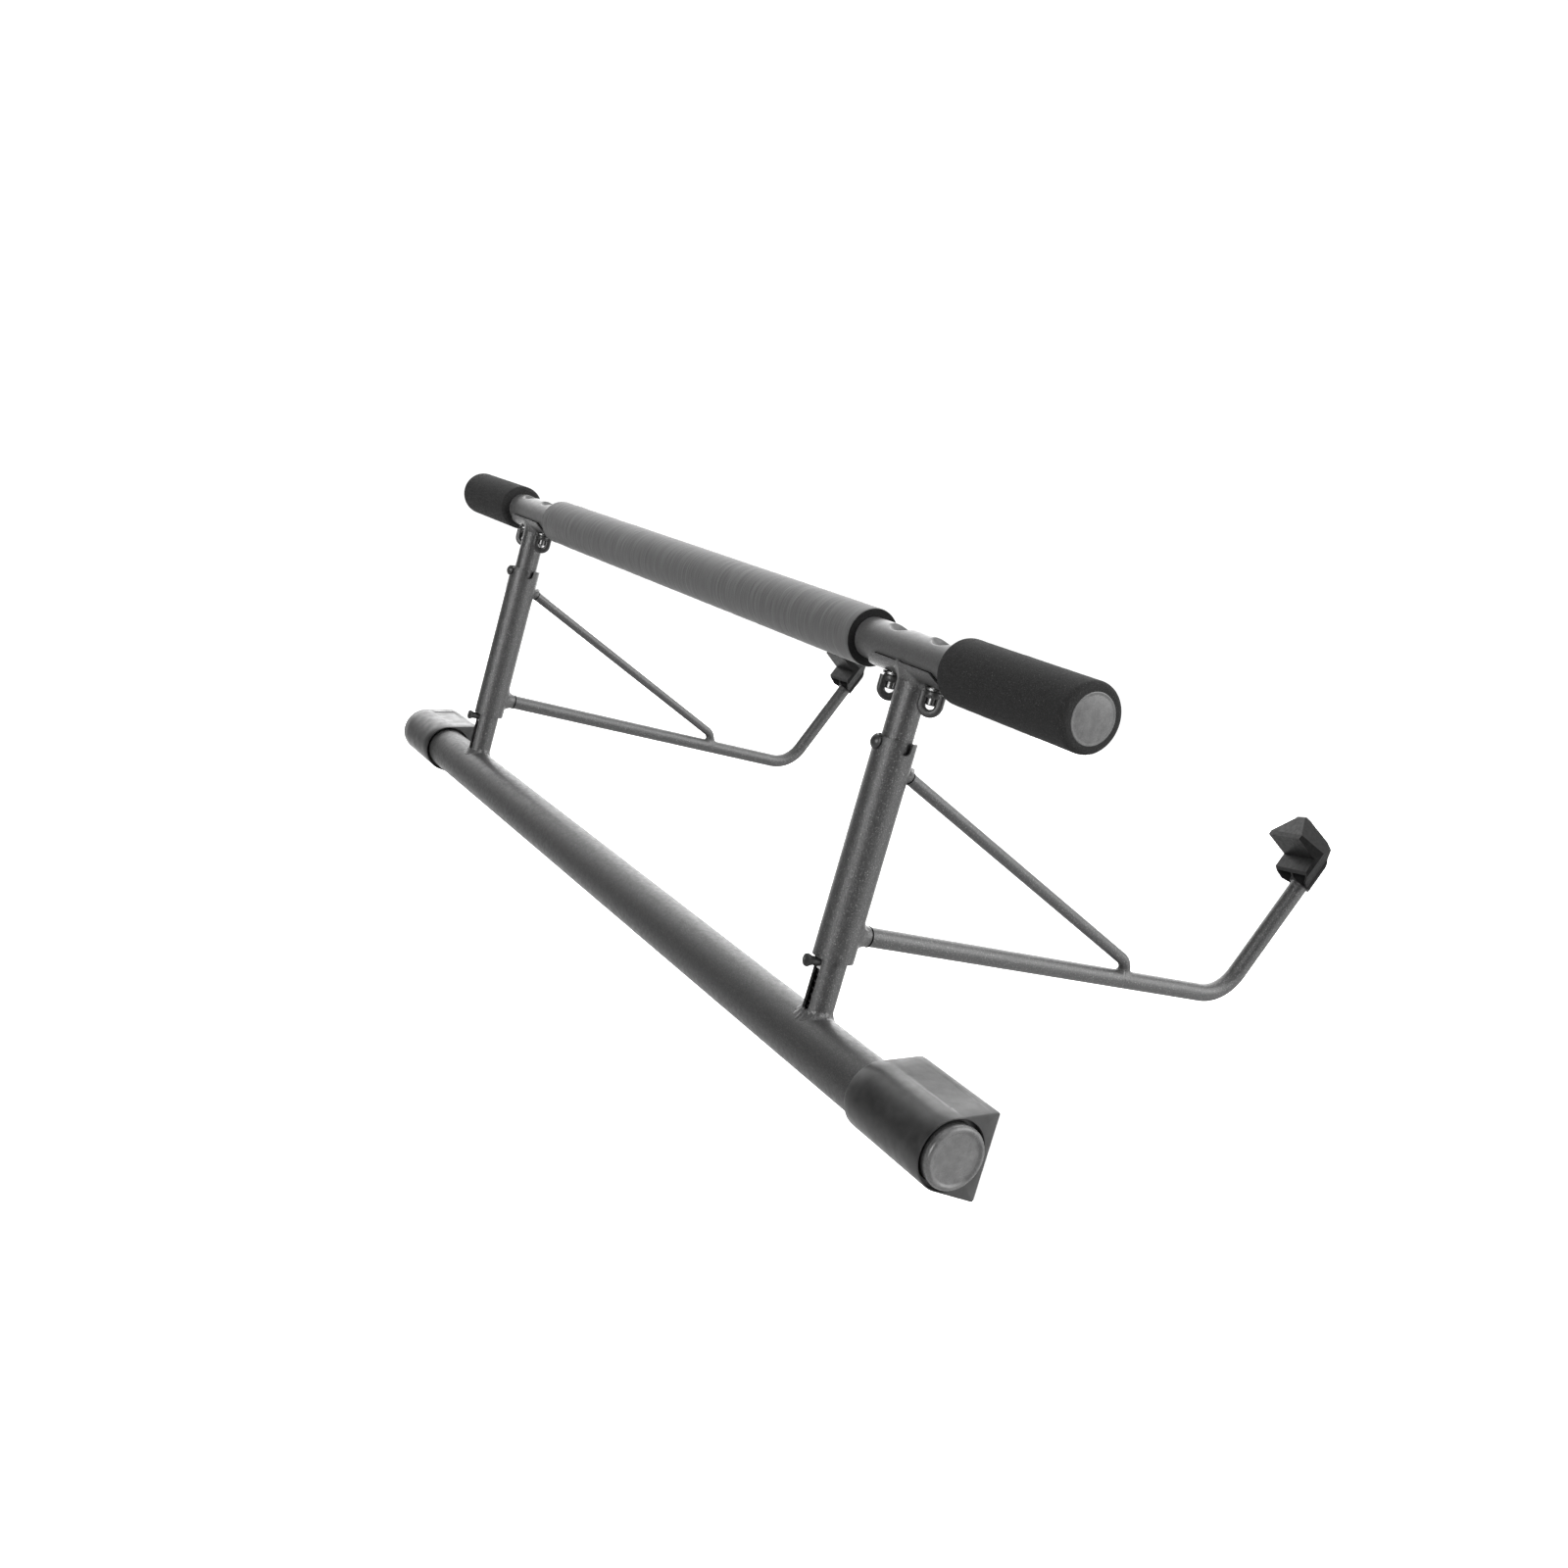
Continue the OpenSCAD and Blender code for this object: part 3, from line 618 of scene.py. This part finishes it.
def make_pads(mats):
    """Door pads: the section run along X, with panels let in on top and below, and a bore."""
    outline, depth = pad_outline()
    n = len(outline)
    normals = []
    for i in range(n):
        along = outline[(i + 1) % n] - outline[i - 1]
        normals.append(Vector((along.y, -along.x)).normalized())
    out_x, in_x, bevel = PAD_OUTER, PAD_INNER, 0.7 * MM
    shell = [(in_x, 0, bevel), (in_x + 0.25 * bevel, 0, 0.3 * bevel), (in_x + bevel, 0, 0)]
    panels = ((12.2, 0), (13.0, 0.25), (38.2, 0.25), (39.0, 0.5), (62.0, 0.5), (62.8, 0))
    shell += [(in_x + at * MM, let_in * MM, 0) for at, let_in in panels]
    shell += [(out_x - bevel, 0, 0), (out_x - 0.25 * bevel, 0, 0.3 * bevel), (out_x, 0, bevel)]
    bores = [(out_x, 20.7), (out_x - 0.4 * MM, 20.3), (out_x - 5 * MM, 20.3), (out_x - 5 * MM, 18.07),
             (in_x + 9 * MM, 18.07), (in_x + 9 * MM, 20), (in_x + 0.3 * MM, 20), (in_x, 20.3)]
    for side, sign in SIDES.items():
        verts = []
        for x, let_in, inset in shell:
            for p, d, out in zip(outline, depth, normals):
                q = p - out * (d * let_in + inset)
                verts.append(Vector((sign * x, BAR_Y + q.x, q.y)))
        for x, r in bores:
            for p in outline:
                a = atan2(p.y, p.x)
                verts.append(Vector((sign * x, BAR_Y + r * MM * cos(a), r * MM * sin(a))))
        faces = grid_faces(len(shell) + len(bores), n, wrap_rings=True)
        piece(side + "_pad_shell", verts, faces, side + "_pad", mats["pad_plastic"],
              (side + "_door_pad",), sharp=30)


# ---- Thumb nuts ----

def make_nuts(mats):
    """Loop-shaped thumb nuts: a round-cornered bar bent into a U under a round hub."""
    top, leg_x, turn_z = 219.7 * MM, 5.1 * MM, 7.9 * MM
    path = [(-leg_x, -1.2 * MM), (-leg_x, -turn_z / 2)]
    path += [(-leg_x * cos(pi * k / 16), -turn_z - leg_x * sin(pi * k / 16)) for k in range(17)]
    path += [(leg_x, -turn_z / 2), (leg_x, -1.2 * MM)]
    sides = 20
    low, high = BOLT_STEPS
    for name, sign, step, turn in (("left_outer", -1, low, 48), ("left_inner", -1, high, 66),
                                   ("right_inner", 1, low, 62), ("right_outer", 1, high, 46)):
        turn = radians(turn)
        across, thick = Vector((cos(turn), sin(turn), 0)), Vector((-sin(turn), cos(turn), 0))
        at = Vector((sign * UPRIGHT_X + step, BAR_Y, top))
        verts = []
        for i, (x, z) in enumerate(path):
            before, after = path[max(i - 1, 0)], path[min(i + 1, len(path) - 1)]
            ahead = across * (after[0] - before[0]) + Vector((0, 0, after[1] - before[1]))
            ahead.normalize()
            inward = ahead.cross(thick)
            for k in range(sides):
                c, d = cos(2 * pi * k / sides), sin(2 * pi * k / sides)
                square = (abs(c) ** 4 + abs(d) ** 4) ** -0.25
                verts.append(at + across * x + Vector((0, 0, z))
                             + (inward * c * 2.4 + thick * d * 3.0) * square * MM)
        faces = grid_faces(len(path), sides)
        faces += [tuple(reversed(range(sides))), tuple(len(verts) - sides + k for k in range(sides))]
        hub = [(0, 4.9), (0.5, 5.4), (3.4, 5.4), (4, 4.9)]
        hub = lathe([(a * MM, r * MM) for a, r in hub], at, (0, 0, -1), 40)
        verts, faces, _ = joined([(verts, faces), hub])
        piece(name + "_thumb_nut", verts, faces, name + "_nut", mats["dark_steel"],
              (name + "_wing_nut",), sharp=50)


# ---- Welds ----

def fillet_weld(origin, base_axis, post_axis, base_r, post_r, leg, rise, seed, lumps=0.4, gap=0.0):
    """A lumpy bead between a post and the round bar it meets, as verts and faces.

    The post leaves the bar's axis at origin. A gap in radians leaves the bead open about -Y."""
    up = Vector(post_axis).normalized()
    across = Vector(base_axis).cross(up).normalized()
    along = across.cross(up) * -1
    lean = asin(max(-1.0, min(1.0, Vector(base_axis).normalized().dot(up))))
    steps, rows, sink = 72, 7, 0.35 * MM
    turns = [gap / 2 + (2 * pi - gap) * k / steps for k in range(steps + (1 if gap else 0))]
    verts = []
    for t in turns:
        side, ahead = sin(t - pi / 2), cos(t - pi / 2)
        ripple = 1 + 0.3 * lumps * noise.noise(Vector((7 * side + seed, 7 * ahead, 0.3)))
        ripple += 0.28 * lumps * noise.noise(Vector((19 * side, 19 * ahead + seed, 2.1)))
        for j in range(rows + 2):
            u = min(max(j - 1, 0) / (rows - 1), 1)
            rho = post_r - 0.2 * MM + (leg * ripple + 0.2 * MM) * u ** 1.5
            height = rise * ripple * (1 - u) ** 1.9
            if j == 0 or j == rows + 1:
                height = -sink
            level = sqrt(base_r ** 2 - min(abs(rho * side), 0.98 * base_r) ** 2)
            reach = (level - rho * ahead * sin(lean)) / cos(lean)
            verts.append(Vector(origin) + along * rho * ahead + across * rho * side
                         + up * (reach + height))
    faces = grid_faces(len(turns), rows + 2, wrap_rings=not gap)
    if gap:
        last = (len(turns) - 1) * (rows + 2)
        faces.append(tuple(reversed(range(rows + 2))))
        faces.append(tuple(last + k for k in range(rows + 2)))
    return verts, faces


def painted_shade_ring(origin, axis, ring_r, wire_r):
    """A thin dark wire ring about a rod where a bead ends: painted shade for the step there."""
    axis = Vector(axis).normalized()
    u = axis.orthogonal().normalized()
    v = axis.cross(u)
    count = 48
    turns = [2 * pi * k / count for k in range(count)]
    path = [Vector(origin) + (u * cos(t) + v * sin(t)) * ring_r for t in turns]
    return sweep(path, [wire_r] * count, 8)


def make_welds(mats):
    """Beads at both ends of each upright, and where the arm and brace meet sleeve and rod, with dark
    rings of painted shade where the arm and brace beads end.
    """
    for side, sign in SIDES.items():
        x = sign * UPRIGHT_X
        foot = fillet_weld((x, BAR_Y, 0), (1, 0, 0), (0, 0, 1), LOWER_R, UPRIGHT_R,
                           3.4 * MM, 4.2 * MM, sign * 3.1, lumps=1.6, gap=radians(42))
        top = fillet_weld((x, BAR_Y, BAR_Z), (1, 0, 0), (0, 0, -1), 14.75 * MM, UPRIGHT_R,
                          3.6 * MM, 4.6 * MM, sign * 5.7, lumps=1.0)
        verts, faces, _ = joined([foot, top])
        piece(side + "_upright_beads", verts, faces, "frame", mats["weld_paint"],
              (side + "_upright_welds",), sharp=70)
        arm_way = Vector((0, cos(ARM_SLOPE), -sin(ARM_SLOPE)))
        brace_way = Vector((0, cos(BRACE_SLOPE), -sin(BRACE_SLOPE)))
        arm_from = Vector((x, BAR_Y, ARM_Z))
        brace_from = Vector((x, BAR_Y, BRACE_Z))
        foot_at = Vector((x, BAR_Y + BRACE_REACH, ARM_Z - BRACE_REACH * tan(ARM_SLOPE)))
        beads = [
            fillet_weld(arm_from, (0, 0, 1), arm_way, SLEEVE_R, 6.3 * MM,
                        4.2 * MM, 6.6 * MM, 1.3 * sign),
            fillet_weld(brace_from, (0, 0, 1), brace_way, SLEEVE_R, 4.25 * MM,
                        1.7 * MM, 3.9 * MM, 8.2 * sign),
            fillet_weld(foot_at, arm_way, (0, 0, 1), 6 * MM, 4 * MM,
                        2.1 * MM, 3.2 * MM, 4.4 * sign, lumps=1.4),
        ]
        # Dark rings of painted shade where the arm and brace beads end
        lines = [
            painted_shade_ring(arm_from + arm_way * 19.6 * MM, arm_way, 6.05 * MM, 0.42 * MM),
            painted_shade_ring(brace_from + brace_way * 17.9 * MM, brace_way, 4.05 * MM, 0.36 * MM),
        ]
        verts, faces, owner = joined(beads + lines)
        welds = piece(side + "_arm_beads", verts, faces, side + "_arm", mats["weld_paint"],
                      (side + "_arm_welds",), sharp=70)
        welds.data.materials.append(mats["painted_shade_black"])
        for p, part in zip(welds.data.polygons, owner):
            p.material_index = 1 if part >= len(beads) else 0


# ---- CAD parts that stay ----

BY_SLOT = {
    "satin_paint": "satin_paint", "speckled_paint": "speckled_paint", "zinc_steel": "zinc",
    "dark_steel": "dark_steel", "cap_plastic": "cap_plastic", "grey_foam": "grey_foam",
    "black_foam": "black_foam", "white_nylon": "nylon", "hook_plastic": "hook_plastic",
    "pad_plastic": "pad_plastic", "pale_liner": "liner",
}
# Width in mm to which a kept part's edges are rounded, by the first of these words in its name
ROUNDED = (("sleeve_bushes", 0), ("sleeve", 0.35), ("crown", 0.45), ("saddle_bolts", 0),
           ("washers", 0.2), ("saddle", 0.2), ("trim_hook", 0.35), ("upright_tube", 0.25),
           ("lock_pin", 0.35), ("plunger_pin", 0.4), ("pad_liner", 0.7))


def paint_cad(mats):
    """Gives every CAD node its material, and rounds the edges of those whose names are in ROUNDED
    with a width.
    """
    for part in frame["record"]["subparts"]:
        node = part["node"]
        obj = NODES[node]
        name = "pin_paint" if "_pin" in node else BY_SLOT[part["material_slot"]]
        if node == "lower_bar_tube":
            name = "bar_paint"
        obj.data.materials.clear()
        obj.data.materials.append(mats[name])
        width = next((w for word, w in ROUNDED if word in node), 0)
        if width:
            flat = obj.modifiers.new("flat", "DECIMATE")
            flat.decimate_type = "DISSOLVE"
            flat.angle_limit = radians(0.6)
            edge = obj.modifiers.new("edge", "BEVEL")
            edge.width = width * MM
            edge.segments = 3
            edge.limit_method = "ANGLE"
            edge.angle_limit = radians(28)
        obj.data.shade_smooth()
        obj.data.set_sharp_from_angle(angle=radians(40 if width else 30))


make_camera()
make_world()
make_floor()
mats = {f.__name__: f() for f in (
    speckled_paint, satin_paint, bar_paint, weld_paint, grey_foam, cut_foam, black_foam,
    pad_plastic, cap_plastic, hook_plastic, dark_steel, pin_paint, zinc, nylon, liner, painted_shade_black)}
paint_cad(mats)
make_foam(mats)
make_pull_bar(mats)
make_bolts(mats)
make_caps(mats)
make_painted_saddle_shadows(mats)
make_pads(mats)
make_nuts(mats)
make_welds(mats)

bpy.context.view_layer.update()
